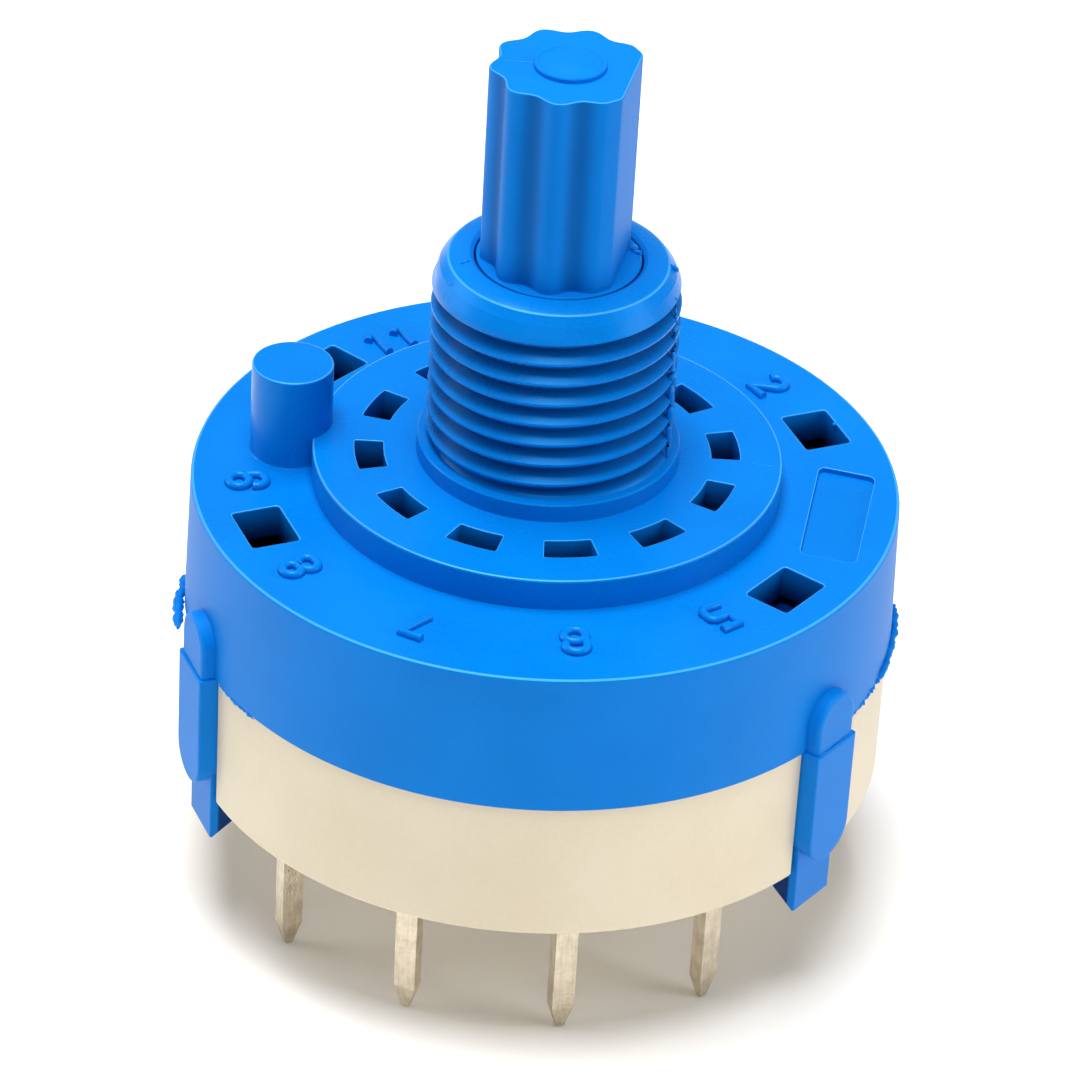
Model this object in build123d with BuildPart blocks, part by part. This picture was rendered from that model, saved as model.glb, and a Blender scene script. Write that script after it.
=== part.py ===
"""Rotary switch with a threaded plastic bush, a fluted D-shaft and pins for a circuit board.

Millimetres. +Z runs up the shaft. The origin is on the shaft's axis, in the plane of the raised
disc that the panel rests on. The locating peg stands on -X. Angles count from +X towards +Y.

The twelve dial stations are 30 degrees apart and count clockwise seen from above. This switch
has two poles of four ways: stations 5 to 8 on the front half and 11 to 2 on the back half.
"""

import os
from math import cos, pi, radians, sin

from build123d import *

# Driving dimensions: the cover outside
COVER_RADIUS = 13.1
SEAT_RADIUS = 8.6
SEAT_STEP = 1.2
SEAT_WALL = 0.5
RIM_FOOT_Z = -6.7
ROOF = 1.6
RIM_EDGE = 0.2

# Driving dimensions: the bush, with its thread as rings
COLLAR_RADIUS = 4.8
COLLAR_HEIGHT = 0.7
THREAD_RADIUS = 4.5
THREAD_DEPTH = 0.45
THREAD_PITCH = 0.84
THREAD_TURNS = 8
THREAD_RUN_OUT = 0.05
CREST_WIDTH = 0.12
FIRST_CREST_Z = 7.17
BUSH_TOP_Z = 8.3
BUSH_NOSE_RADIUS = 4.25
BUSH_NOSE_HEIGHT = 0.35

# Driving dimensions: the shaft
SHAFT_RADIUS = 2.85
FLUTE_DEPTH = 0.3
FLUTE_PITCH = 37.4
FLUTE_CRESTS = 8
FLAT_DISTANCE = 2.27
FLAT_CORNER = 1.78
FLAT_ANGLE = -5
JOURNAL_RADIUS = 2.97
JOURNAL_TOP_Z = 8.25
SHAFT_CLEARANCE = 0.07
SHAFT_TOP_Z = 15.9
BOSS_RADIUS = 1.29
BOSS_HEIGHT = 0.2
BOSS_CROWN = 0.1

# Stations of the dial
STATIONS = 12
STATION_PITCH = 360 / STATIONS
STATION_TWELVE = 105
POLE_STATIONS = {"b": (5, 6, 7, 8), "a": (11, 12, 1, 2)}
REST_STATION = {"b": 6, "a": 12}
POLE_MIDDLE = {"b": -90, "a": 90}

# Slots of the seat disc, windows of the rim and the locating peg
SLOT_RADII = (6.01, 7.05)
SLOT_WIDTH = 1.8
WINDOW_RADII = (9.98, 11.78)
WINDOW_WIDTH = 2.35
WINDOW_ANGLES = (-30, 30, 147, -150)
PEG_RADIUS = 1.5
PEG_FOOT_RADIUS = 1.65
PEG_DISTANCE = 9.5
PEG_TOP_Z = 2.45
PEG_EDGE = 0.1

# Snap clips that hold the cover on the base
CLIP_ANGLES = (-30, 30, 150, -150)
PAD_WIDTH = 2.15
PAD_FACE = 13.6
PAD_TOP_Z = -4.55
ARM_WIDTH = 2.35
ARM_FACE = 13.7
ARM_FOOT_Z = -11.7
TONGUE_WIDTH = 2.15
TONGUE_FACE = 13.17
TONGUE_BACK = 12.55
TONGUE_FOOT_Z = -13.9
HOOK_REACH_RADIUS = 12.15
HOOK_NOSE_Z = -13.2
HOOK_TOP_Z = -12.3

# Base, a cup that the clips hold against the rim
BASE_RADIUS = 13.05
BASE_FOOT_Z = -12.25
FLOOR_Z = -9.8
BASE_CAVITY_RADIUS = 11.5
CLIP_GROOVE_WIDTH = 2.45
CLIP_GROOVE_FLOOR = 12.5
SLIT_PLAY = 0.04

# Detent ring, balls and stops
DETENT_PEAK_RADIUS = 11.2
DETENT_NOTCH_DEPTH = 0.5
DETENT_NOTCH_HALF_WIDTH = 1.22
DETENT_TOP_Z = -3.8
BALL_RADIUS = 1.2
BALL_GAP = 0.05
BALL_Z = -5.0
BALL_ANGLES = {"a": 15, "b": 195}
BALL_BORE_START = 3.9
STOP_RADII = (9.7, 10.5)
STOP_LUG_FOOT_Z = -9.1
STOP_POST_TOP_Z = -8.2
STOP_POSTS = ((18, 30), (150, 162))
STOP_LUG = (90.4, 119.6)

# Rotor
FLANGE_RADIUS = 10.6
FLANGE_Z = (-8.0, -3.0)
THRUST_RADIUS = 5.0
AXIAL_PLAY = 0.05
LOWER_HUB_RADIUS = 3.5
PIVOT_RADIUS = 1.5
PIVOT_CLEARANCE = 0.06
PIVOT_FOOT_Z = -11.4
DIAL_LUG_TOP_Z = -1.8
DIAL_LUG_HALF_ANGLE = 6.5
POCKET_RADII = (5.2, 9.2)
POCKET_WIDTH = 2.0
POCKET_ROOF_Z = -6.8

# Wipers and springs
WIPER_WIDTH = 1.7
WIPER_SHEET = 0.25
WIPER_TOP_Z = -7.6
WIPER_FEET = (5.8, 8.6)
WIPER_FOOT_LENGTH = 0.5
CONTACT_GAP = 0.02
LEAF_SHEET = 0.12
LEAF_WIDTH = 1.3
LEAF_GAP = 0.05
LEAF_RAMP = 0.9
DETENT_SPRING_COIL = 0.85
DETENT_SPRING_WIRE = 0.15
WIRE_SIDES = 4
DETENT_SPRING_TURNS = 3
COIL_CORNERS = 8
SPRING_END_GAP = 0.02

# Terminals
PIN_CIRCLE_RADIUS = 11.0
COMMON_PIN_RADIUS = 4.4
BLADE_WIDTH = 0.86
BLADE_SHEET = 0.58
BLADE_POINT_Z = -17.0
BLADE_FOOT_Z = -18.0
POINT_WIDTH = 0.3
POINT_SHEET = 0.22
CONTACT_SHEET = 0.3
CONTACT_WIDTH = 1.9
CONTACT_RADII = (7.9, 11.35)
COMMON_RADII = (5.0, 6.6)
COMMON_HALF_ANGLE = 55
COMMON_TAB_WIDTH = 1.6
COMMON_TAB_END = 3.95
BLADE_TWIST = {5: 8, 6: 14, 7: 0, 8: 82}

ANNULUS_Z = -SEAT_STEP
ROOF_UNDER_Z = ANNULUS_Z - ROOF
SEAT_UNDER_Z = -ROOF
SEAT_POCKET_RADIUS = SEAT_RADIUS - SEAT_WALL
BORE_RADIUS = JOURNAL_RADIUS + SHAFT_CLEARANCE
BALL_DISTANCE = DETENT_PEAK_RADIUS - BALL_GAP - BALL_RADIUS
CONTACT_Z = FLOOR_Z + CONTACT_SHEET
OVERLAP = 0.2


def station_angle(station):
    """Direction of a dial station, seen from above."""
    return STATION_TWELVE - STATION_PITCH * (station % STATIONS)


def at(radius, angle):
    """Point of a circle round the shaft's axis."""
    return (radius * cos(radians(angle)), radius * sin(radians(angle)))


def facing(angle, distance=0):
    """Plane that faces outward at an angle: x along the tangent, y up."""
    outward = (*at(1, angle), 0)
    tangent = (*at(1, angle + 90), 0)
    origin = (*at(distance, angle), 0)
    return Plane(origin=origin, x_dir=tangent, z_dir=outward)


def cut_through(angle):
    """Plane that holds the axis: x outward at an angle, y up."""
    outward = (*at(1, angle), 0)
    sideways = (*at(1, angle - 90), 0)
    return Plane(origin=(0, 0, 0), x_dir=outward, z_dir=sideways)


def sector(inner, outer, start, end):
    """Face between two circles and two directions."""
    middle = (start + end) / 2
    with BuildSketch() as face:
        with BuildLine():
            ThreePointArc(at(outer, start), at(outer, middle), at(outer, end))
            Line(at(outer, end), at(inner, end))
            ThreePointArc(at(inner, end), at(inner, middle), at(inner, start))
            Line(at(inner, start), at(outer, start))
        make_face()
    return face.sketch


def thread_points():
    """Section of the thread's rings, downward. The first and the last crest have a land."""
    root = THREAD_RADIUS - THREAD_DEPTH
    points = []
    for turn in range(THREAD_TURNS):
        crest = FIRST_CREST_Z - turn * THREAD_PITCH
        if turn in (0, THREAD_TURNS - 1):
            points.append((THREAD_RADIUS, crest + CREST_WIDTH))
        points += [(THREAD_RADIUS, crest), (root, crest - THREAD_PITCH / 2)]
    return points


def corners(sketch, radius, height):
    """Vertices of a section sketch at one place."""
    place = Vector(radius, height)
    return [v for v in sketch.vertices() if (Vector(v.X, v.Y) - place).length < 0.01]


def flute_point(quarter):
    """Point of the fluted outline, counted in quarter waves from the first crest."""
    wave = (1 - cos(pi * quarter / 2)) / 2
    first_crest = 180 - FLUTE_PITCH * (FLUTE_CRESTS - 1) / 2
    return at(SHAFT_RADIUS - FLUTE_DEPTH * wave, first_crest + FLUTE_PITCH * quarter / 4)


def coil_points(angle):
    """Corners of a spring's wire, which winds straight outward at an angle behind its ball."""
    start = BALL_BORE_START + SPRING_END_GAP + DETENT_SPRING_WIRE
    end = BALL_DISTANCE - BALL_RADIUS - SPRING_END_GAP - DETENT_SPRING_WIRE
    count = DETENT_SPRING_TURNS * COIL_CORNERS
    points = []
    for step in range(count + 1):
        sideways, up = at(DETENT_SPRING_COIL, 360 * step / COIL_CORNERS)
        x, y = at(start + (end - start) * step / count, angle)
        across_x, across_y = at(sideways, angle + 90)
        points.append((x + across_x, y + across_y, BALL_Z + up))
    return points


def blade_places():
    """Where each blade passes through the base, turned as the blade is."""
    places = []
    for stations in POLE_STATIONS.values():
        for station in stations:
            angle = station_angle(station)
            turn = angle + BLADE_TWIST.get(station, 0)
            places.append(Location((*at(PIN_CIRCLE_RADIUS, angle), 0), (0, 0, turn)))
    for angle in POLE_MIDDLE.values():
        places.append(Location((*at(COMMON_PIN_RADIUS, angle), 0), (0, 0, angle)))
    return places


def pointed(width, point_width):
    """Outline of a blade seen along one of its sides, x across and y up."""
    with BuildSketch() as outline:
        with BuildLine():
            Polyline(
                (-width / 2, FLOOR_Z),
                (-width / 2, BLADE_POINT_Z),
                (-point_width / 2, BLADE_FOOT_Z),
                (point_width / 2, BLADE_FOOT_Z),
                (width / 2, BLADE_POINT_Z),
                (width / 2, FLOOR_Z),
                close=True,
            )
        make_face()
    return outline.sketch


def blade(radius, angle, twist):
    """Blade from the base's floor to the foot of the pins, pointed on all four sides."""
    centre = (*at(radius, angle), 0)
    across = (*at(1, angle + twist + 90), 0)
    through = (*at(1, angle + twist), 0)
    against = (*at(1, angle + twist - 90), 0)
    with BuildPart() as part:
        with BuildSketch(Plane(origin=centre, x_dir=across, z_dir=through)):
            add(pointed(BLADE_WIDTH, POINT_WIDTH))
        extrude(amount=BLADE_SHEET / 2, both=True)
        with BuildSketch(Plane(origin=centre, x_dir=through, z_dir=against)):
            add(pointed(BLADE_SHEET, POINT_SHEET))
        extrude(amount=BLADE_WIDTH / 2, both=True, mode=Mode.INTERSECT)
    return part.part


os.makedirs("parts", exist_ok=True)

# Cover: bush, collar, seat disc, roof and rim are one turned shell
with BuildPart() as cover:
    with BuildSketch(Plane.XZ) as shell:
        with BuildLine():
            Polyline(
                (BORE_RADIUS, BUSH_TOP_Z),
                (BUSH_NOSE_RADIUS, BUSH_TOP_Z),
                (BUSH_NOSE_RADIUS, BUSH_TOP_Z - BUSH_NOSE_HEIGHT),
                *thread_points(),
                (THREAD_RADIUS - THREAD_RUN_OUT, COLLAR_HEIGHT),
                (COLLAR_RADIUS, COLLAR_HEIGHT),
                (COLLAR_RADIUS, 0),
                (SEAT_RADIUS, 0),
                (SEAT_RADIUS, ANNULUS_Z),
                (COVER_RADIUS, ANNULUS_Z),
                (COVER_RADIUS, RIM_FOOT_Z),
                (DETENT_PEAK_RADIUS, RIM_FOOT_Z),
                (DETENT_PEAK_RADIUS, ROOF_UNDER_Z),
                (SEAT_POCKET_RADIUS, ROOF_UNDER_Z),
                (SEAT_POCKET_RADIUS, SEAT_UNDER_Z),
                (BORE_RADIUS, SEAT_UNDER_Z),
                close=True,
            )
        make_face()
        chamfer(corners(shell, COVER_RADIUS, ANNULUS_Z), RIM_EDGE)
    revolve(axis=Axis.Z)

    # Ring of slots through the seat disc, one for each station
    with BuildSketch():
        with PolarLocations(sum(SLOT_RADII) / 2, STATIONS, start_angle=station_angle(3)):
            Rectangle(SLOT_RADII[1] - SLOT_RADII[0], SLOT_WIDTH)
    extrude(amount=-ROOF, mode=Mode.SUBTRACT)

    # Windows through the rim's top
    with BuildSketch(Plane.XY.offset(ANNULUS_Z)):
        for angle in WINDOW_ANGLES:
            with Locations(Location((*at(sum(WINDOW_RADII) / 2, angle), 0), (0, 0, angle))):
                Rectangle(WINDOW_RADII[1] - WINDOW_RADII[0], WINDOW_WIDTH)
    extrude(amount=DETENT_TOP_Z - ANNULUS_Z, mode=Mode.SUBTRACT)

    # Detent notches round the inside of the rim
    with BuildSketch(Plane.XY.offset(RIM_FOOT_Z)):
        with PolarLocations(DETENT_PEAK_RADIUS, STATIONS, start_angle=station_angle(3)):
            Polygon(
                (DETENT_NOTCH_DEPTH, 0),
                (-OVERLAP, DETENT_NOTCH_HALF_WIDTH),
                (-OVERLAP, -DETENT_NOTCH_HALF_WIDTH),
                align=None,
            )
    extrude(amount=DETENT_TOP_Z - RIM_FOOT_Z, mode=Mode.SUBTRACT)

    # Locating peg: a flared foot partly run into the seat disc, and the plain peg above it
    with Locations((-PEG_DISTANCE, 0, ANNULUS_Z / 2)):
        Cone(PEG_FOOT_RADIUS, PEG_RADIUS, SEAT_STEP)
    with BuildSketch():
        with Locations((-PEG_DISTANCE, 0)):
            Circle(PEG_RADIUS)
    extrude(amount=PEG_TOP_Z)
    chamfer(cover.faces(Select.LAST).sort_by(Axis.Z)[-1].edges(), PEG_EDGE)

    # Four snap clips: pad on the rim, arm and tongue down the base, hook under its foot
    for angle in CLIP_ANGLES:
        with BuildSketch(facing(angle, TONGUE_BACK)):
            pad_centre_z = PAD_TOP_Z - PAD_WIDTH / 2
            with Locations((0, pad_centre_z)):
                Circle(PAD_WIDTH / 2)
            with Locations((0, (pad_centre_z + RIM_FOOT_Z) / 2)):
                Rectangle(PAD_WIDTH, pad_centre_z - RIM_FOOT_Z)
        extrude(amount=PAD_FACE - TONGUE_BACK)
        with BuildSketch(facing(angle, TONGUE_BACK)):
            arm_centre_z = ARM_FOOT_Z + ARM_WIDTH / 2
            with Locations((0, arm_centre_z)):
                Circle(ARM_WIDTH / 2)
            with Locations((0, (arm_centre_z + RIM_FOOT_Z) / 2)):
                Rectangle(ARM_WIDTH, RIM_FOOT_Z - arm_centre_z)
        extrude(amount=ARM_FACE - TONGUE_BACK)
        with BuildSketch(cut_through(angle)):
            with BuildLine():
                Polyline(
                    (TONGUE_BACK, RIM_FOOT_Z),
                    (TONGUE_FACE, RIM_FOOT_Z),
                    (TONGUE_FACE, TONGUE_FOOT_Z),
                    (HOOK_REACH_RADIUS, HOOK_NOSE_Z),
                    (HOOK_REACH_RADIUS, HOOK_TOP_Z),
                    (TONGUE_BACK, HOOK_TOP_Z),
                    close=True,
                )
            make_face()
        extrude(amount=TONGUE_WIDTH / 2, both=True)
cover.part.label = "cover"
export_step(cover.part, "parts/cover.step")


# Base: a cup that holds the terminals and closes the cover from below
with BuildPart() as base:
    with BuildSketch(Plane.XZ):
        with BuildLine():
            Polyline(
                (0, BASE_FOOT_Z),
                (BASE_RADIUS, BASE_FOOT_Z),
                (BASE_RADIUS, RIM_FOOT_Z),
                (BASE_CAVITY_RADIUS, RIM_FOOT_Z),
                (BASE_CAVITY_RADIUS, FLOOR_Z),
                (PIVOT_RADIUS + PIVOT_CLEARANCE, FLOOR_Z),
                (PIVOT_RADIUS + PIVOT_CLEARANCE, PIVOT_FOOT_Z - AXIAL_PLAY),
                (0, PIVOT_FOOT_Z - AXIAL_PLAY),
                close=True,
            )
        make_face()
    revolve(axis=Axis.Z)

    # Posts that stop the rotor at the first and the last way
    with BuildSketch(Plane.XY.offset(FLOOR_Z)):
        for start, end in STOP_POSTS:
            add(sector(STOP_RADII[0], BASE_CAVITY_RADIUS + OVERLAP, start, end))
    extrude(amount=STOP_POST_TOP_Z - FLOOR_Z)

    # Grooves for the clips' tongues
    for angle in CLIP_ANGLES:
        with BuildSketch(facing(angle, CLIP_GROOVE_FLOOR)):
            with Locations((0, (BASE_FOOT_Z + RIM_FOOT_Z) / 2)):
                Rectangle(CLIP_GROOVE_WIDTH, RIM_FOOT_Z - BASE_FOOT_Z)
        extrude(amount=BASE_RADIUS - CLIP_GROOVE_FLOOR + OVERLAP, mode=Mode.SUBTRACT)

    # Slits for the blades
    with BuildSketch(Plane.XY.offset(BASE_FOOT_Z)):
        for place in blade_places():
            with Locations(place):
                Rectangle(BLADE_SHEET + SLIT_PLAY, BLADE_WIDTH + SLIT_PLAY)
    extrude(amount=FLOOR_Z - BASE_FOOT_Z, mode=Mode.SUBTRACT)
base.part.label = "base"
export_step(base.part, "parts/base.step")


# Rotor: shaft, journal, flange, stop lugs and pivot in one moulding
with BuildPart() as rotor:
    with BuildSketch(Plane.XZ):
        with BuildLine():
            Polyline(
                (0, JOURNAL_TOP_Z),
                (JOURNAL_RADIUS, JOURNAL_TOP_Z),
                (JOURNAL_RADIUS, SEAT_UNDER_Z - AXIAL_PLAY),
                (THRUST_RADIUS, SEAT_UNDER_Z - AXIAL_PLAY),
                (THRUST_RADIUS, FLANGE_Z[1]),
                (FLANGE_RADIUS, FLANGE_Z[1]),
                (FLANGE_RADIUS, FLANGE_Z[0]),
                (LOWER_HUB_RADIUS, FLANGE_Z[0]),
                (LOWER_HUB_RADIUS, FLOOR_Z + AXIAL_PLAY),
                (PIVOT_RADIUS, FLOOR_Z + AXIAL_PLAY),
                (PIVOT_RADIUS, PIVOT_FOOT_Z),
                (0, PIVOT_FOOT_Z),
                close=True,
            )
        make_face()
    revolve(axis=Axis.Z)

    # Fluted shaft with its flat: crests and valleys are arcs that meet halfway up the wave
    with BuildSketch(Plane.XY.offset(JOURNAL_TOP_Z).rotated((0, 0, FLAT_ANGLE))):
        with BuildLine():
            last_crest = 4 * (FLUTE_CRESTS - 1)
            Line((FLAT_DISTANCE, -FLAT_CORNER), (FLAT_DISTANCE, FLAT_CORNER))
            Line((FLAT_DISTANCE, FLAT_CORNER), flute_point(-1))
            for middle in range(0, last_crest + 1, 2):
                ThreePointArc(flute_point(middle - 1), flute_point(middle), flute_point(middle + 1))
            Line(flute_point(last_crest + 1), (FLAT_DISTANCE, -FLAT_CORNER))
        make_face()
    extrude(amount=SHAFT_TOP_Z - JOURNAL_TOP_Z)

    # Low crowned boss on the shaft's end
    with BuildSketch(Plane.XZ):
        with BuildLine():
            Polyline(
                (0, SHAFT_TOP_Z),
                (BOSS_RADIUS, SHAFT_TOP_Z),
                (BOSS_RADIUS, SHAFT_TOP_Z + BOSS_HEIGHT),
                (0, SHAFT_TOP_Z + BOSS_HEIGHT + BOSS_CROWN),
                close=True,
            )
        make_face()
    revolve(axis=Axis.Z)

    # Lug that runs under the slots, where a stop pin dropped in one would catch it
    with BuildSketch(Plane.XY.offset(FLANGE_Z[1])):
        add(sector(*SLOT_RADII, -DIAL_LUG_HALF_ANGLE, DIAL_LUG_HALF_ANGLE))
    extrude(amount=DIAL_LUG_TOP_Z - FLANGE_Z[1])

    # Lug that meets the base's posts
    with BuildSketch(Plane.XY.offset(STOP_LUG_FOOT_Z)):
        add(sector(*STOP_RADII, *STOP_LUG))
    extrude(amount=FLANGE_Z[0] - STOP_LUG_FOOT_Z)

    # Cross bores for the detent balls and their springs
    for angle in BALL_ANGLES.values():
        with BuildSketch(facing(angle, BALL_BORE_START)):
            with Locations((0, BALL_Z)):
                Circle(BALL_RADIUS + BALL_GAP)
        extrude(amount=FLANGE_RADIUS - BALL_BORE_START + OVERLAP, mode=Mode.SUBTRACT)

    # Pockets for the wipers and their springs
    for station in REST_STATION.values():
        with BuildSketch(cut_through(station_angle(station))):
            with BuildLine():
                Polyline(
                    (POCKET_RADII[0], FLANGE_Z[0]),
                    (POCKET_RADII[1], FLANGE_Z[0]),
                    (POCKET_RADII[1], POCKET_ROOF_Z),
                    (POCKET_RADII[0], POCKET_ROOF_Z),
                    close=True,
                )
            make_face()
        extrude(amount=POCKET_WIDTH / 2, both=True, mode=Mode.SUBTRACT)
rotor.part.label = "rotor"
export_step(rotor.part, "parts/rotor.step")


# Detent balls, each with the spring that presses it outward
for side, angle in BALL_ANGLES.items():
    with BuildPart() as detent_ball:
        with Locations((*at(BALL_DISTANCE, angle), BALL_Z)):
            Sphere(BALL_RADIUS)
    detent_ball.part.label = f"detent_ball_{side}"
    export_step(detent_ball.part, f"parts/detent_ball_{side}.step")

    with BuildPart() as detent_spring:
        with BuildLine() as wire:
            Polyline(*coil_points(angle))
        with BuildSketch(Plane(origin=wire.line @ 0, z_dir=wire.line % 0)):
            RegularPolygon(DETENT_SPRING_WIRE, WIRE_SIDES)
        sweep(transition=Transition.RIGHT)
    detent_spring.part.label = f"detent_spring_{side}"
    export_step(detent_spring.part, f"parts/detent_spring_{side}.step")


# Wipers: a bent strip bridges a terminal and its common, and a bent leaf presses it down
for side, station in REST_STATION.items():
    angle = station_angle(station)
    inner, outer = WIPER_FEET
    half_foot = WIPER_FOOT_LENGTH / 2
    foot_z = CONTACT_Z + CONTACT_GAP + WIPER_SHEET / 2
    back_z = WIPER_TOP_Z - WIPER_SHEET / 2
    with BuildPart() as wiper:
        with BuildSketch(cut_through(angle)):
            with BuildLine():
                strip = Polyline(
                    (inner + half_foot, foot_z),
                    (inner - half_foot, foot_z),
                    (inner - half_foot, back_z),
                    (outer + half_foot, back_z),
                    (outer + half_foot, foot_z),
                    (outer - half_foot, foot_z),
                )
            trace(strip, WIPER_SHEET)
        extrude(amount=WIPER_WIDTH / 2, both=True)
    wiper.part.label = f"wiper_{side}"
    export_step(wiper.part, f"parts/wiper_{side}.step")

    leaf_foot_z = WIPER_TOP_Z + LEAF_GAP + LEAF_SHEET / 2
    leaf_crown_z = POCKET_ROOF_Z - SPRING_END_GAP - LEAF_SHEET / 2
    with BuildPart() as wiper_spring:
        with BuildSketch(cut_through(angle)):
            with BuildLine():
                leaf = Polyline(
                    (inner, leaf_foot_z),
                    (inner + LEAF_RAMP, leaf_crown_z),
                    (outer - LEAF_RAMP, leaf_crown_z),
                    (outer, leaf_foot_z),
                )
            trace(leaf, LEAF_SHEET)
        extrude(amount=LEAF_WIDTH / 2, both=True)
    wiper_spring.part.label = f"wiper_spring_{side}"
    export_step(wiper_spring.part, f"parts/wiper_spring_{side}.step")


# Outer terminals: a contact strip on the base's floor, with its blade down through it
for station in POLE_STATIONS["a"] + POLE_STATIONS["b"]:
    angle = station_angle(station)
    inner, outer = CONTACT_RADII
    pin = blade(PIN_CIRCLE_RADIUS, angle, BLADE_TWIST.get(station, 0))
    with BuildPart() as terminal:
        with BuildSketch(Plane.XY.offset(FLOOR_Z).rotated((0, 0, angle))):
            with Locations(((inner + outer) / 2, 0)):
                Rectangle(outer - inner, CONTACT_WIDTH)
        extrude(amount=CONTACT_SHEET)
        add(pin)
    terminal.part.label = f"terminal_{station}"
    export_step(terminal.part, f"parts/terminal_{station}.step")


# Common terminals: part of a ring under each wiper's inner foot, with a blade near the pivot
for side, angle in POLE_MIDDLE.items():
    ring_middle = sum(COMMON_RADII) / 2
    pin = blade(COMMON_PIN_RADIUS, angle, 0)
    with BuildPart() as common:
        with BuildSketch(Plane.XY.offset(FLOOR_Z)):
            add(sector(*COMMON_RADII, angle - COMMON_HALF_ANGLE, angle + COMMON_HALF_ANGLE))
            with Locations(Location((*at((COMMON_TAB_END + ring_middle) / 2, angle), 0), (0, 0, angle))):
                Rectangle(ring_middle - COMMON_TAB_END, COMMON_TAB_WIDTH)
        extrude(amount=CONTACT_SHEET)
        add(pin)
    common.part.label = f"common_{side}"
    export_step(common.part, f"parts/common_{side}.step")
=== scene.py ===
# %% [markdown]
# # A rotary switch, dressed in Blender
#
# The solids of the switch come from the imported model: a blue cover with a bush, a cream base, a
# fluted shaft and a ring of pins. This lesson makes the pieces that the eye meets, with fine
# edges, a thread and real finishes, and leaves every size where the solids have it.

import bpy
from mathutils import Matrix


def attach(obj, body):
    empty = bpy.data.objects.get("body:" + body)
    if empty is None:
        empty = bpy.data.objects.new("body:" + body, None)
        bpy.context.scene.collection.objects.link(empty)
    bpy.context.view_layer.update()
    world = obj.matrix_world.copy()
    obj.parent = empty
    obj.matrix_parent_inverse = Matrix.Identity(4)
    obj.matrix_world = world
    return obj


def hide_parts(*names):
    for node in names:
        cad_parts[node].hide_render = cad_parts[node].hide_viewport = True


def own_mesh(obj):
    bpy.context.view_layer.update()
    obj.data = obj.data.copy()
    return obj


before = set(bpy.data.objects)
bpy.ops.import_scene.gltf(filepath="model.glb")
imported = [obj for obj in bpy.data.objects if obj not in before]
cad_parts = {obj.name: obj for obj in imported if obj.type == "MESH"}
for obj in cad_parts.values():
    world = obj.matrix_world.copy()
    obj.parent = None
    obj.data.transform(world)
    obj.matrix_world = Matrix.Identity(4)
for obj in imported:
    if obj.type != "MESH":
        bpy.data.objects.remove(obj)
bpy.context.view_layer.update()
print("nodes:", len(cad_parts))

# %% [markdown]
# Lengths in this lesson are written in millimetres, as on a drawing, and turned into metres only
# when a mesh is finished. Blender's face filling also works better at that size, because it takes
# points that are a few hundredths of a unit apart for one. Angles count from +X towards +Y, seen
# from above, and the locating peg stands on -X.

# %% Units and directions
import random
from math import cos, pi, radians, sin, sqrt, tan

import bmesh
import bpy
from mathutils import Matrix, Vector

MM = 0.001
AROUND = 180


def at(radius, angle):
    """Point of a circle round the shaft's axis."""
    return (radius * cos(radians(angle)), radius * sin(radians(angle)))


def circle(radius, centre=(0, 0), steps=AROUND):
    """Round outline, counter-clockwise."""
    points = [at(radius, 360 * i / steps) for i in range(steps)]
    return [(x + centre[0], y + centre[1]) for x, y in points]


print("one step round the rim is", round(2 * pi * 13 / AROUND, 2), "mm")

# %% [markdown]
# A moulding has no knife edges. Each rim is a little round, and that round catches the light as a
# thin line. Bevelling a finished boolean is fragile, so the skins here are built ring by ring: an
# outline moves inwards a little on each ring to turn the edge, and flat caps close the skin.

# %% Outlines that move inwards
EDGE_STEPS = 2


def inset(outline, amount):
    """A counter-clockwise outline moved inwards, with true corners. A negative amount grows it."""
    moved = []
    for i, (x, y) in enumerate(outline):
        before = outline[i - 1]
        after = outline[(i + 1) % len(outline)]
        arrive = Vector((x - before[0], y - before[1])).normalized()
        leave = Vector((after[0] - x, after[1] - y)).normalized()
        inwards = Vector((-arrive.y - leave.y, arrive.x + leave.x))
        reach = amount / max(1 + arrive.dot(leave), 0.2)
        moved.append((x + inwards.x * reach, y + inwards.y * reach))
    return moved


def rounding(edge, steps=EDGE_STEPS):
    """Pairs of inset and depth that turn a quarter round, from the wall to the flat."""
    turns = [radians(90 * k / steps) for k in range(steps + 1)]
    return [(edge * (1 - cos(a)), edge * (1 - sin(a))) for a in turns]


def softened(corners, radius, steps=4):
    """Outline with its real corners turned, and its gentle bends left alone."""
    points = []
    for i, corner in enumerate(corners):
        here = Vector(corner)
        before = Vector(corners[i - 1])
        after = Vector(corners[(i + 1) % len(corners)])
        arrive = (here - before).normalized()
        leave = (after - here).normalized()
        if arrive.dot(leave) > cos(radians(30)):
            points.append(tuple(here))
            continue
        start = here - arrive * radius
        end = here + leave * radius
        for k in range(steps + 1):
            t = k / steps
            points.append(tuple(start * (1 - t) ** 2 + here * 2 * t * (1 - t) + end * t ** 2))
    return points


def sector(inner, outer, start, end, steps=6):
    """Outline between two circles and two directions, counter-clockwise."""
    angles = [start + (end - start) * k / steps for k in range(steps + 1)]
    return [at(outer, a) for a in angles] + [at(inner, a) for a in reversed(angles)]


def turned_box(radius, angle, radial, width):
    """Corners of a box that lies along a radius, counter-clockwise."""
    turn = Matrix.Rotation(radians(angle), 2)
    corners = [(-radial, -width), (radial, -width), (radial, width), (-radial, width)]
    return [tuple(turn @ Vector((radius + x / 2, y / 2))) for x, y in corners]


print("quarter round of 0.1:", [tuple(round(v, 3) for v in pair) for pair in rounding(0.1)])

# %% [markdown]
# The skins themselves are kept in one small class. A ring is an outline at a height, a tube joins
# rings, a cap closes them with a flat face, and a block, a hole or a turned shape is made of those.
# A boolean could cut the holes, but these share their edges with the flats from the start.


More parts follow.
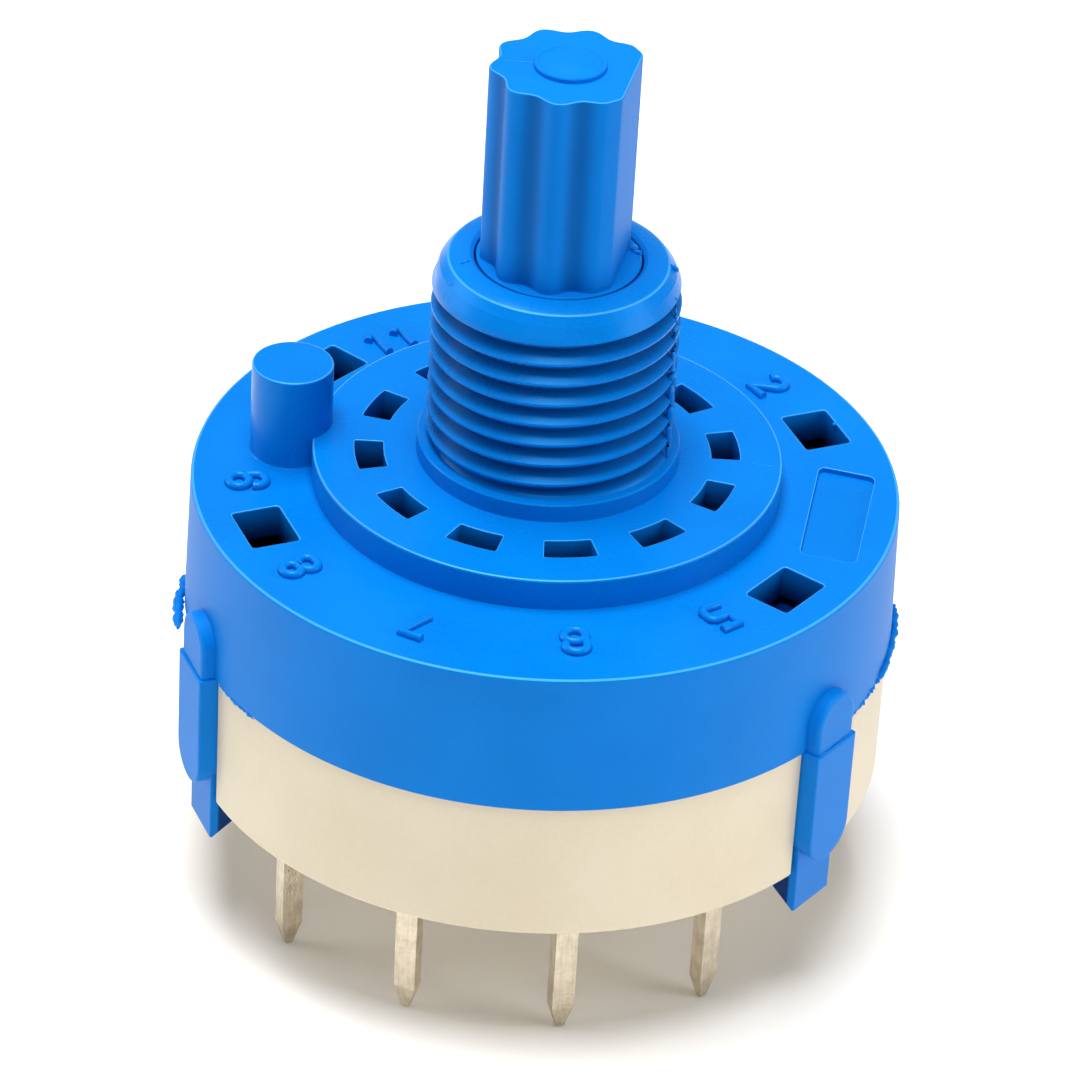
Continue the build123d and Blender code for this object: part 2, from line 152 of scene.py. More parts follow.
# %% Skins, ring by ring
class Skin:
    """A closed skin in the making: rings, strips between rings, and flat caps."""

    def __init__(self):
        self.bm = bmesh.new()

    def ring(self, outline, z):
        """Points of an outline at a height. An outline of one point is a pole."""
        return [self.bm.verts.new((x, y, z)) for x, y in outline]

    def tube(self, rings):
        """Strips from each ring to the next, which has as many points or is a pole."""
        for low, high in zip(rings, rings[1:]):
            for i in range(max(len(low), len(high))):
                k = i + 1
                below = [low[i % len(low)], low[k % len(low)]]
                above = [high[k % len(high)], high[i % len(high)]]
                self.bm.faces.new(list(dict.fromkeys(below + above)))
        return rings

    def cap(self, *rings):
        """Flat face across one ring, or between the first ring and the ones inside it."""
        edges = []
        for ring in rings:
            for i, vertex in enumerate(ring):
                pair = (vertex, ring[(i + 1) % len(ring)])
                edges.append(self.bm.edges.get(pair) or self.bm.edges.new(pair))
        bmesh.ops.triangle_fill(self.bm, use_beauty=True, edges=edges)

    def hole(self, outline, top, foot, edge):
        """Wall of a hole whose upper edge is turned. Gives its top ring and its foot ring."""
        rings = []
        for inward, depth in reversed(rounding(edge)):
            rings.append(self.ring(inset(outline, -inward), top - depth))
        rings.append(self.ring(outline, foot))
        self.tube(rings)
        return rings[0], rings[-1]

    def slab(self, outline, foot, top, edge, foot_edge=0.0, holes=(), hole_edge=0.04):
        """Block of one outline with turned edges, and holes right through it."""
        rings = []
        if foot_edge:
            for inward, depth in reversed(rounding(foot_edge)):
                rings.append(self.ring(inset(outline, inward), foot + depth))
        else:
            rings.append(self.ring(outline, foot))
        for inward, depth in rounding(edge):
            rings.append(self.ring(inset(outline, inward), top - depth))
        self.tube(rings)
        walls = [self.hole(hole, top, foot, hole_edge) for hole in holes]
        self.cap(rings[-1], *[wall[0] for wall in walls])
        self.cap(rings[0], *[wall[1] for wall in walls])

    def turned(self, profile, centre=(0, 0), steps=AROUND):
        """Turned skin of a profile of radius and height. A profile off the axis is a loop."""
        rings = []
        for radius, z in profile:
            outline = circle(radius, centre, steps) if radius else [centre]
            rings.append(self.ring(outline, z))
        if profile[0][0] and profile[-1][0]:
            rings.append(rings[0])
        self.tube(rings)

    def mesh(self, name, place=None):
        """The skin as a mesh in metres, put in its place, with its faces outwards."""
        bm = self.bm
        if place:
            bmesh.ops.transform(bm, matrix=place, verts=bm.verts)
        bmesh.ops.recalc_face_normals(bm, faces=bm.faces)
        bmesh.ops.scale(bm, vec=(MM, MM, MM), verts=bm.verts)
        mesh = bpy.data.meshes.new(name)
        bm.to_mesh(mesh)
        bm.free()
        return mesh


print("skins can be built")

# %% [markdown]
# Node trees are easier to read as sums. A small class wraps a socket, so that 1 - mask or
# wave * 0.2 adds the Math nodes that it needs, and one method adds any other node from its type,
# its settings and its inputs. The same two serve the finishes and the geometry trees.


# %% Node trees as expressions
class Value:
    """A number that flows through a node tree."""

    def __init__(self, tree, socket):
        self.tree = tree
        self.socket = socket

    def math(self, operation, *others):
        inputs = dict(enumerate((self, *others)))
        return self.tree.value("ShaderNodeMath", {"operation": operation}, inputs)

    def __add__(self, other):
        return self.math("ADD", other)

    __radd__ = __add__

    def __mul__(self, other):
        return self.math("MULTIPLY", other)

    __rmul__ = __mul__

    def __sub__(self, other):
        return self.math("SUBTRACT", other)

    def __rsub__(self, other):
        return self * -1 + other

    def __truediv__(self, other):
        return self.math("DIVIDE", other)

    def at_least(self, other):
        return self.math("MAXIMUM", other)

    def at_most(self, other):
        return self.math("MINIMUM", other)

    def over(self, other):
        return self.math("GREATER_THAN", other)

    def ramp(self, low, high):
        """Smooth step from 0 at low to 1 at high."""
        inputs = {"Value": self, "From Min": low, "From Max": high}
        return self.tree.value("ShaderNodeMapRange", {"interpolation_type": "SMOOTHSTEP"}, inputs)


class Tree:
    """A node tree that is written from Python."""

    def __init__(self, tree):
        self.tree = tree

    def node(self, kind, settings=None, inputs=None):
        node = self.tree.nodes.new(kind)
        for name, setting in (settings or {}).items():
            if name == "stops":
                ramp = node.color_ramp.elements
                while len(ramp) < len(setting):
                    ramp.new(0.5)
                for element, (position, colour) in zip(ramp, setting):
                    element.position = position
                    element.color = colour
            else:
                setattr(node, name, setting)
        for key, given in (inputs or {}).items():
            socket = node.inputs[key]
            if isinstance(given, Value):
                given = given.socket
            if isinstance(given, bpy.types.NodeSocket):
                self.tree.links.new(given, socket)
            else:
                socket.default_value = given
        return node

    def value(self, kind, settings=None, inputs=None, output=0):
        return Value(self, self.node(kind, settings, inputs).outputs[output])


print("trees can be written")

# %% [markdown]
# The finishes. Moulded plastic is one even colour with a soft sheen, and its life is in the
# surface: the rim's wall keeps a fine grain from the mould, the flats are smoother with faint
# flow marks, and everything carries a trace of unevenness. All patterns read Object coordinates
# in millimetres, so that they stay on the piece.

# %% Finish helpers
def finish_tree(name, metallic=0.0, specular=0.4, tint=(1, 1, 1)):
    """New finish: its tree, its shader and the place in millimetres."""
    material = bpy.data.materials.new(name)
    material.use_nodes = True
    material.node_tree.nodes.clear()
    tree = Tree(material.node_tree)
    shader = tree.node("ShaderNodeBsdfPrincipled")
    shader.inputs["Metallic"].default_value = metallic
    shader.inputs["Specular IOR Level"].default_value = specular
    shader.inputs["Specular Tint"].default_value = (*tint, 1)
    tree.node("ShaderNodeOutputMaterial", None, {"Surface": shader.outputs["BSDF"]})
    coordinates = tree.node("ShaderNodeTexCoord")
    place = tree.node("ShaderNodeMapping", None, {
        "Vector": coordinates.outputs["Object"],
        "Scale": (1 / MM, 1 / MM, 1 / MM),
    })
    return material, tree, shader, place.outputs[0]


def speckle(tree, place, scale, detail=2.0, roughness=0.5):
    """Noise from 0 to 1, with its scale in grains per millimetre."""
    inputs = {"Vector": place, "Scale": scale, "Detail": detail, "Roughness": roughness}
    return tree.value("ShaderNodeTexNoise", None, inputs)


def blended(tree, factor, low, high):
    """Colour between two colours, each given as numbers or as a socket."""
    ends = [(*end, 1) if isinstance(end, tuple) else end for end in (low, high)]
    mix = tree.node("ShaderNodeMix", {"data_type": "RGBA"}, {0: factor, 6: ends[0], 7: ends[1]})
    return mix.outputs[2]


def bumped(tree, shader, height, depth):
    """Feed a height from 0 to 1 to the shader, as a relief of some millimetres."""
    bump = tree.node("ShaderNodeBump", None, {"Height": height, "Distance": depth * MM, "Strength": 1.0})
    tree.tree.links.new(bump.outputs[0], shader.inputs["Normal"])


def feed(tree, shader, **sockets):
    """Link colours and numbers to the shader's sockets."""
    for name, source in sockets.items():
        socket = shader.inputs[name.replace("_", " ")]
        tree.tree.links.new(source.socket if isinstance(source, Value) else source, socket)


print("finish helpers are ready")

# %% [markdown]
# The blue has painted light in its colour. Faces marked as the upper half of a turned edge are mixed with a
# lighter blue, a painted highlight, and holes, grooves and flutes are mixed towards a dark blue, painted
# shade that grows with depth. Depth is worked out from the place: below the roof or the seat it is the
# height, and in the thread and the flutes it is the distance from the axis. The sheen is tinted, because on
# a strong blue a white sheen would look violet.

# %% Blue and cream plastics
BLUE_LOW = (0.0003, 0.165, 0.590)
BLUE_HIGH = (0.0006, 0.190, 0.660)
BLUE_SHEEN = (0.12, 0.58, 1.0)
PAINTED_EDGE_HIGHLIGHT = (0.055, 0.33, 0.68)
PAINTED_SHADE_BLUE = (0.0002, 0.017, 0.125)
SHADED_CORE_LOW = (0.002, 0.010, 0.022)
SHADED_CORE_HIGH = (0.002, 0.016, 0.040)
CREAM_LOW = (0.69, 0.600, 0.440)
CREAM_HIGH = (0.74, 0.655, 0.495)
ANNULUS_Z = -1.2
SEAT_ZONE = 7.8
HOLE_DEPTHS = (0.05, 1.3)
THREAD_ZONE = (0.72, 7.2)
THREAD_RADIUS = 4.5
THREAD_INSIDE = 3.6
THREAD_SHADE = 0.68
FLUTE_ZONE = (8.3, 15.86)
SHAFT_RADIUS = 2.85
FLAT_ZONE = 2.2
FLAT_LEAN = 0.087
FLUTE_SHADE = 0.5
GROOVE_DEPTHS = (0.04, 0.44)
FLUTE_DEPTHS = (0.04, 0.34)
EDGE_HIGHLIGHT_SHARE = 0.85
WALL_GRAIN = 12.85
RELIEF = 0.0008


def painted_shade(place, wall, radius, flutes):
    """Share of painted shade at a point, from 0 to 1, by how deep it lies in a hole, a groove or a flute.
    """
    x, y, z = place
    level = radius.over(SEAT_ZONE) * ANNULUS_Z
    sunk = (level - z).ramp(*HOLE_DEPTHS) * (1 - wall)
    threaded = z.over(THREAD_ZONE[0]) * (1 - z.over(THREAD_ZONE[1])) * radius.over(THREAD_INSIDE)
    sunk = sunk + (THREAD_RADIUS - radius).ramp(*GROOVE_DEPTHS) * threaded * THREAD_SHADE
    fluted = z.over(FLUTE_ZONE[0]) * (1 - z.over(FLUTE_ZONE[1])) * (1 - (x - y * FLAT_LEAN).over(FLAT_ZONE))
    return sunk + (SHAFT_RADIUS - radius).ramp(*FLUTE_DEPTHS) * fluted * flutes


def moulded(name, low, high, smooth, rough, sheen=(1, 1, 1), grain_from=None, specular=0.4, flutes=0.0):
    """Moulded plastic. Past the grain_from radius the wall is rougher; with grain_from given, holes,
    grooves and flutes inside it get painted shade and marked edge faces a painted highlight.
    """
    material, tree, shader, place = finish_tree(name, specular=specular, tint=sheen)
    cloud = speckle(tree, place, 0.22, 3.0)
    fine = speckle(tree, place, 5.5, 3.0, 0.6)
    grain = speckle(tree, place, 11.0, 2.0, 0.7)
    tone = (cloud * 0.7 + fine * 0.3).ramp(0.3, 0.7)
    colour = blended(tree, tone, low, high)
    wall = 0
    if grain_from:
        axes = tree.node("ShaderNodeSeparateXYZ", None, {"Vector": place})
        x, y, z = [Value(tree, output) for output in axes.outputs]
        radius = (x * x + y * y).math("SQRT")
        wall = radius.ramp(grain_from, grain_from + 0.1)
        # Painted shade: holes, thread grooves and flutes are mixed towards a dark blue by depth.
        colour = blended(tree, painted_shade((x, y, z), wall, radius, flutes), colour, PAINTED_SHADE_BLUE)
        # Painted highlight: faces marked as turned edges are mixed with a lighter blue.
        edge = tree.value("ShaderNodeAttribute", {"attribute_name": "edge"}, None, 2) * EDGE_HIGHLIGHT_SHARE
        colour = blended(tree, edge, colour, PAINTED_EDGE_HIGHLIGHT)
    roughness = smooth + fine * 0.1 + cloud * 0.08 + wall * (rough - smooth)
    feed(tree, shader, Base_Color=colour, Roughness=roughness)
    grain_share = 0.25 + wall * 0.9 if grain_from else 0.4
    bumped(tree, shader, fine * 0.5 + grain * grain_share, RELIEF)
    return material


cover_blue = moulded("cover_blue", BLUE_LOW, BLUE_HIGH, 0.20, 0.42, BLUE_SHEEN, WALL_GRAIN)
shaft_blue = moulded(
    "shaft_blue", BLUE_LOW, BLUE_HIGH, 0.46, 0.46, BLUE_SHEEN, WALL_GRAIN, specular=0.3, flutes=FLUTE_SHADE)
# The rotor core is painted near black: painted shade for the dim inside seen through the windows.
shaded_core_blue = moulded("shaded_core_blue", SHADED_CORE_LOW, SHADED_CORE_HIGH, 0.4, 0.4)
cream = moulded("base_cream", CREAM_LOW, CREAM_HIGH, 0.42, 0.42)
print("plastics:", cover_blue.name, shaft_blue.name, shaded_core_blue.name, cream.name)

# %% [markdown]
# The pins, wipers and springs are strip and wire. Stamped and plated strip is dull, with faint
# streaks along the way it was drawn and small pits. One function makes all three metals, which
# differ in colour, in roughness and in how pitted they are.


# %% Metals
def stamped(name, low, high, rough, pits):
    """Stamped strip: drawn a little along its height, dull, with pits."""
    material, tree, shader, place = finish_tree(name, metallic=1.0)
    drawn = tree.node("ShaderNodeMapping", None, {"Vector": place, "Scale": (6.0, 6.0, 0.6)})
    streaks = speckle(tree, drawn.outputs[0], 1.5, 3.0)
    patches = speckle(tree, place, 1.6, 4.0, 0.6)
    pitting = speckle(tree, place, 6.0, 3.0, 0.7)
    tone = (patches * 0.6 + streaks * 0.4).ramp(0.3, 0.7)
    roughness = rough + patches * 0.25 + pitting * 0.1
    feed(tree, shader, Base_Color=blended(tree, tone, low, high), Roughness=roughness)
    bumped(tree, shader, pitting.ramp(0.25, 0.6) * pits + streaks * 0.3, 0.02)
    return material


nickel = stamped("dull_nickel", (0.58, 0.50, 0.375), (0.82, 0.73, 0.58), 0.22, 0.8)
silver = stamped("silvered_strip", (0.62, 0.60, 0.55), (0.82, 0.80, 0.75), 0.16, 0.2)
steel = stamped("spring_steel", (0.40, 0.40, 0.41), (0.60, 0.60, 0.61), 0.18, 0.2)
print("metals:", nickel.name, silver.name, steel.name)

# %% [markdown]
# Each mesh becomes a piece in the same way. Faces that lean as the upper half of a turned edge does are
# marked, for the finish to paint a lighter blue on them as a painted highlight. Gentle bends are shaded
# smooth and flats are kept flat, and the piece is told which body carries it and which solid it stands for.

# %% Pieces
HIGHLIGHT_TILT = (0.88, 0.95)
FLAT_WEIGHT = 100


def show(name, mesh, finish, body, slot, *stands_for, smooth=20, edges=True):
    """Piece from a mesh, smooth but for its sharp edges, on a body, with its finish."""
    piece = bpy.data.objects.new(name, mesh)
    bpy.context.scene.collection.objects.link(piece)
    mesh.materials.clear()
    mesh.materials.append(finish)
    # Faces that lean like a turned edge's upper half are marked for the finish's painted highlight.
    if edges:
        leaning = [HIGHLIGHT_TILT[0] < face.normal.z < HIGHLIGHT_TILT[1] for face in mesh.polygons]
        mesh.attributes.new("edge", "FLOAT", "FACE").data.foreach_set("value", leaning)
    mesh.shade_smooth()
    mesh.set_sharp_from_angle(angle=radians(smooth))
    weight = piece.modifiers.new("flats keep flat", "WEIGHTED_NORMAL")
    weight.keep_sharp = True
    weight.weight = FLAT_WEIGHT
    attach(piece, body)
    if stands_for:
        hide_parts(*stands_for)
    mesh.calc_loop_triangles()
    span = [round(side / MM, 2) for side in piece.dimensions]
    print(f"{name}: {len(mesh.loop_triangles)} triangles, {span} mm")
    return piece


def cover_piece(name, mesh, **more):
    """Piece of the blue cover."""
    return show(name, mesh, cover_blue, "housing", "cover_plastic", "cover", **more)


# %% [markdown]
# The cover is one blue moulding. Its rim and roof are one skin here, with four square windows
# right through the roof and a shallow bare plate sunk beside one of them. The windows let the
# mould's cores form the catches, and the plate is a plain recess with turned edges. All of them
# are outlines in one flat, so they are filled together and share its edges.

# %% Rim and roof
COVER_RADIUS = 13.0
RIM_FOOT_RADIUS = 13.15
ROOF_UNDER_Z = -2.8
RIM_FOOT_Z = -6.7
SKIRT_BORE = 11.9
ROOF_HOLE = 8.1
RIM_EDGE = 0.12
FOOT_EDGE = 0.05
WINDOWS = ((-30, 10.88), (30, 10.88), (147, 10.88), (-150, 10.88))
WINDOW_SIZE = (1.8, 2.35)
WINDOW_CORNER = 0.16
WINDOW_FOOT_Z = -2.45
WINDOW_EDGE = 0.05
PLATE_CORNERS = ((9.68, -2.98), (11.72, -3.20), (11.90, 2.62), (9.82, 2.92))
PLATE_CORNER = 0.3
PLATE_DEPTH = 0.2
PLATE_EDGE = 0.04

rim = Skin()
wall = [rim.ring(circle(RIM_FOOT_RADIUS - FOOT_EDGE), RIM_FOOT_Z)]
wall.append(rim.ring(circle(RIM_FOOT_RADIUS), RIM_FOOT_Z + FOOT_EDGE))
for inward, depth in rounding(RIM_EDGE):
    wall.append(rim.ring(circle(COVER_RADIUS - inward), ANNULUS_Z - depth))
rim.tube(wall)
skirt = rim.tube([rim.ring(circle(SKIRT_BORE), RIM_FOOT_Z), rim.ring(circle(SKIRT_BORE), ROOF_UNDER_Z)])
middle = rim.tube([rim.ring(circle(ROOF_HOLE), ANNULUS_Z), rim.ring(circle(ROOF_HOLE), ROOF_UNDER_Z)])
window_walls = []
for angle, radius in WINDOWS:
    outline = softened(turned_box(radius, angle, *WINDOW_SIZE), WINDOW_CORNER)
    top, lower = rim.hole(outline, ANNULUS_Z, WINDOW_FOOT_Z, WINDOW_EDGE)
    flare = rim.ring(inset(outline, ROOF_UNDER_Z - WINDOW_FOOT_Z), ROOF_UNDER_Z)
    rim.tube([lower, flare])
    window_walls.append((top, flare))
plate_outline = softened(PLATE_CORNERS, PLATE_CORNER)
plate_top, plate_floor = rim.hole(plate_outline, ANNULUS_Z, ANNULUS_Z - PLATE_DEPTH, PLATE_EDGE)
rim.cap(plate_floor)
rim.cap(wall[-1], middle[0], plate_top, *[top for top, foot in window_walls])
rim.cap(skirt[1], middle[1], *[foot for top, foot in window_walls])
rim.cap(wall[0], skirt[0])
cover_piece("cover_rim", rim.mesh("cover_rim"))

# %% [markdown]
# The raised disc is the seat for the panel. Twelve slots go through it, one for each station of
# the dial, where a stop pin can be dropped in.

# %% Seat disc with its slots
SEAT_RADIUS = 8.6
SEAT_UNDER_Z = -1.6
SEAT_EDGE = 0.08
SLOT_RADII = (6.01, 7.05)
SLOT_HALF = 7.9
SLOT_CORNER = 0.08
SLOT_EDGE = 0.04
STATIONS = 12
BUSH_CORE = 3.3

slots = []
for station in range(STATIONS):
    angle = 15 + 360 / STATIONS * station
    slots.append(softened(sector(*SLOT_RADII, angle - SLOT_HALF, angle + SLOT_HALF), SLOT_CORNER))
seat = Skin()
holes = [*slots, circle(BUSH_CORE)]
seat.slab(circle(SEAT_RADIUS), SEAT_UNDER_Z, 0, SEAT_EDGE, holes=holes, hole_edge=SLOT_EDGE)
cover_piece("cover_seat", seat.mesh("cover_seat"))

# %% [markdown]
# The bush has a plain collar at its foot and a smooth nose at its top, and between them a thread
# for the panel nut. The plain parts are turned from a profile, which is how they look and how
# the mould was cut.

# %% Collar, bore and nose of the bush
COLLAR_RADIUS = 4.8
COLLAR_TOP = 0.7
COLLAR_FOOT = -0.4
BORE_RADIUS = 3.04
NOSE_RADIUS = 4.25
NOSE_FOOT = 7.8
BUSH_TOP = 8.3

bush = Skin()
collar_profile = [(BORE_RADIUS + 0.1, COLLAR_FOOT), (COLLAR_RADIUS, COLLAR_FOOT)]
collar_profile += [(COLLAR_RADIUS, COLLAR_TOP - 0.05)]
collar_profile += [(COLLAR_RADIUS - 0.05, COLLAR_TOP), (BORE_RADIUS + 0.1, COLLAR_TOP)]
bush.turned(collar_profile)
bore_profile = [(BORE_RADIUS, SEAT_UNDER_Z), (3.5, SEAT_UNDER_Z), (3.5, 7.6), (3.95, 7.6)]
bore_profile += [(3.95, NOSE_FOOT), (NOSE_RADIUS, NOSE_FOOT), (4.0, 8.1), (3.92, 8.14)]
bore_profile += [(3.4, BUSH_TOP), (BORE_RADIUS + 0.15, BUSH_TOP)]
bore_profile += [(BORE_RADIUS + 0.02, BUSH_TOP - 0.09), (BORE_RADIUS, BUSH_TOP - 0.14)]
bush.turned(bore_profile)
cover_piece("cover_bush", bush.mesh("cover_bush"))

# %% [markdown]
# The thread follows a rule, so Geometry Nodes make it. A grid is wound round the axis as a
# ribbon, one pitch high, that climbs one pitch each turn. Its rows follow the helix, so the
# crests stay sharp lines. Where the ribbon passes the collar or the nose, its points are held
# there, and merging them closes the skin. The last groove fades out under the nose.

# %% The thread's tree
THREAD_DEPTH = 0.45
THREAD_PITCH = 0.84
CREST_SHARE = 0.1
FIRST_CREST_Z = 7.17
THREAD_START = -90
THREAD_ROWS = 9
THREAD_COLUMNS = 160
TURNS_BELOW = 9
FADE_END = -0.14
FADE_SPAN = 0.2
CONE_FOOT = 7.27


def geometry_tree(name, sizes):
    """New geometry tree with a mesh input, named sizes and a material."""
    group = bpy.data.node_groups.new(name, "GeometryNodeTree")
    group.interface.new_socket("Geometry", in_out="INPUT", socket_type="NodeSocketGeometry")
    for label, kind in sizes.items():
        group.interface.new_socket(label, in_out="INPUT", socket_type=kind)
    group.interface.new_socket("Finish", in_out="INPUT", socket_type="NodeSocketMaterial")
    group.interface.new_socket("Geometry", in_out="OUTPUT", socket_type="NodeSocketGeometry")
    tree = Tree(group)
    entry = tree.node("NodeGroupInput")
    return group, tree, entry


def close_tree(tree, entry, geometry):
    """End a tree in real meshes with their finish."""
    real = tree.node("GeometryNodeRealizeInstances", None, {"Geometry": geometry})
    inputs = {"Geometry": real.outputs[0], "Material": entry.outputs["Finish"]}
    painted = tree.node("GeometryNodeSetMaterial", None, inputs)
    tree.node("NodeGroupOutput", None, {"Geometry": painted.outputs[0]})


def grown(name, group, values, finish, start=None):
    """Plain mesh that a geometry tree makes, from an empty mesh or from a given one."""
    seed = bpy.data.objects.new(name + "_seed", start or bpy.data.meshes.new(name + "_seed"))
    bpy.context.scene.collection.objects.link(seed)
    modifier = seed.modifiers.new(name, "NODES")
    modifier.node_group = group
    for socket in group.interface.items_tree:
        if socket.in_out == "INPUT" and socket.name in values:
            modifier[socket.identifier] = values[socket.name]
        if socket.in_out == "INPUT" and socket.name == "Finish":
            modifier[socket.identifier] = finish
    evaluated = seed.evaluated_get(bpy.context.evaluated_depsgraph_get())
    mesh = bpy.data.meshes.new_from_object(evaluated)
    mesh.name = name
    seed.modifiers.clear()
    bpy.data.objects.remove(seed)
    return mesh


lengths = [
    "Radius", "Depth", "Pitch", "First Crest", "Top", "Cone Foot",
    "Collar", "Foot", "Core", "Nose", "Neck",
]
group, tree, entry = geometry_tree("thread", {label: "NodeSocketFloat" for label in lengths})
size = {label: Value(tree, entry.outputs[label]) for label in lengths}


def wound(columns, rows, spread):
    """Grid whose columns run round the axis. spread gives radius, height and turn of a point."""
    grid = tree.node("GeometryNodeMeshGrid", None, {"Vertices X": columns, "Vertices Y": rows})
    index = tree.value("GeometryNodeInputIndex")
    column = (index / rows + 0.0001).math("FLOOR")
    row = index - column * rows
    radius, height, turn = spread(column, row)
    angle = turn * 2 * pi + radians(THREAD_START)
    place = tree.node("ShaderNodeCombineXYZ", None, {
        "X": radius * angle.math("COSINE"),
        "Y": radius * angle.math("SINE"),
        "Z": height,
    })
    inputs = {"Geometry": grid.outputs["Mesh"], "Position": place.outputs[0]}
    return tree.node("GeometryNodeSetPosition", None, inputs).outputs[0]


def thread_point(column, row):
    """Point of the ribbon. Rows 0 to 2 are the crest, and the groove's bottom is row 5."""
    turn = column / THREAD_COLUMNS
    share = row.at_most(2) * (CREST_SHARE / 2) + (row - 2).at_least(0) * ((1 - CREST_SHARE) / 6)
    flank = (1 - CREST_SHARE) / 2
    groove = ((share - CREST_SHARE) / flank).at_most((1 - share) / flank).at_least(0)
    fade = 1 - turn.ramp(TURNS_BELOW + FADE_END - FADE_SPAN, TURNS_BELOW + FADE_END)
    height = size["First Crest"] + size["Pitch"] * (turn + share - TURNS_BELOW)
    slope = (size["Radius"] - size["Nose"]) / (size["Top"] - size["Cone Foot"])
    cone = (size["Top"] - height) * slope + size["Nose"]
    shallow = 0.45 + (height - size["Collar"]).ramp(0, size["Pitch"] * 0.35) * 0.55
    depth = size["Depth"] * groove * fade * shallow
    radius = (size["Radius"] - depth).at_most(cone.at_least(size["Nose"]))
    held_low = 1 - height.over(size["Foot"])
    held_high = height.over(size["Top"])
    free = 1 - held_low - held_high
    radius = radius * free + size["Neck"] * held_low + size["Nose"] * held_high
    height = height.at_least(size["Foot"]).at_most(size["Top"])
    return radius, height, turn


def core_point(column, row):
    """Point of the hidden inside: out at the top, down the core, and out at the foot."""
    turn = column / THREAD_COLUMNS
    outer = 1 - row.over(0.5)
    last = row.over(2.5)
    radius = size["Core"] + (size["Nose"] - size["Core"]) * outer
    radius = radius + (size["Neck"] - size["Core"]) * last
    height = size["Top"] + (size["Foot"] - size["Top"]) * row.over(1.5)
    return radius, height, turn


ribbon_columns = int(THREAD_COLUMNS * (TURNS_BELOW + 2)) + 1
ribbon = wound(ribbon_columns, THREAD_ROWS, thread_point)
core = wound(THREAD_COLUMNS + 1, 4, core_point)
joined = tree.node("GeometryNodeJoinGeometry")
tree.tree.links.new(ribbon, joined.inputs[0])
tree.tree.links.new(core, joined.inputs[0])
inputs = {"Geometry": joined.outputs[0], "Distance": 0.0005 * MM}
merged = tree.node("GeometryNodeMergeByDistance", None, inputs)
close_tree(tree, entry, merged.outputs[0])
print("thread tree:", len(group.nodes), "nodes")

# %% The thread
THREAD_FOOT = 0.3
NECK_RADIUS = 4.0

thread_sizes = {
    "Radius": THREAD_RADIUS, "Depth": THREAD_DEPTH, "Pitch": THREAD_PITCH,
    "First Crest": FIRST_CREST_Z, "Top": NOSE_FOOT, "Cone Foot": CONE_FOOT, "Collar": COLLAR_TOP,
    "Foot": THREAD_FOOT, "Core": BUSH_CORE, "Nose": NOSE_RADIUS, "Neck": NECK_RADIUS,
}
thread_mesh = grown("cover_thread", group, {k: v * MM for k, v in thread_sizes.items()}, cover_blue)


def outwards(mesh):
    """Turn a closed mesh's faces outwards and give its open edges, of which there should be none."""
    bm = bmesh.new()
    bm.from_mesh(mesh)
    bmesh.ops.scale(bm, vec=(1 / MM, 1 / MM, 1 / MM), verts=bm.verts)
    bmesh.ops.dissolve_degenerate(bm, dist=1e-5, edges=bm.edges)
    bmesh.ops.recalc_face_normals(bm, faces=bm.faces)
    open_edges = sum(1 for edge in bm.edges if len(edge.link_faces) != 2)
    bmesh.ops.scale(bm, vec=(MM, MM, MM), verts=bm.verts)
    bm.to_mesh(mesh)
    bm.free()
    return open_edges


print("open edges:", outwards(thread_mesh))
cover_piece("cover_thread", thread_mesh, smooth=28, edges=False)

# %% [markdown]
# The locating peg keeps the switch from turning in the panel. It is plain and round, with a
# crisp top and a soft blend where it grows out of the cover.

# %% Locating peg
PEG_DISTANCE = 9.5
PEG_RADIUS = 1.5
PEG_TOP = 2.45
PEG_EDGE = 0.07

peg = Skin()
peg_profile = [(0, -1.7), (1.56, -1.7), (1.56, -1.2), (1.52, -1.16), (PEG_RADIUS, -1.05)]
peg_profile += [(PEG_RADIUS - inward, PEG_TOP - depth) for inward, depth in rounding(PEG_EDGE)]
peg_profile += [(0, PEG_TOP)]
peg.turned(peg_profile, (-PEG_DISTANCE, 0), 96)
cover_piece("cover_peg", peg.mesh("cover_peg"))

# %% [markdown]
# Inside the rim runs the detent ring: twelve shallow notches that the two balls click into. It
# is cut in the wall by the mould's core, so its notches run out at the rim's foot.

# %% Detent ring
DETENT_PEAK = 11.2
NOTCH_BOTTOM = 11.7
NOTCH_FLANK = 60
DETENT_Z = (RIM_FOOT_Z + 0.01, -3.8)
DETENT_BACK = 12.3
DETENT_EDGE = 0.02


def detent_radius(angle):
    """Radius of the detent track, with a notch of two flat flanks at each station."""
    off = radians(angle % 30 - 15)
    flank = NOTCH_BOTTOM / (cos(off) + abs(sin(off)) / tan(radians(NOTCH_FLANK)))
    return max(DETENT_PEAK, flank)


detent = Skin()
track = [at(detent_radius(angle), angle) for angle in range(360)]
detent.slab(circle(DETENT_BACK), *DETENT_Z, DETENT_EDGE, holes=[track], hole_edge=DETENT_EDGE)
cover_piece("cover_detent_ring", detent.mesh("cover_detent_ring"))

# %% [markdown]
# Four snap clips hold the cover on the base. Each has a rounded pad on the rim, a rounded arm
# over the base, and a thin tongue that goes on down to a hook. One clip is built, and a small
# geometry tree sets four of them round the axis, in two mirrored pairs of places.

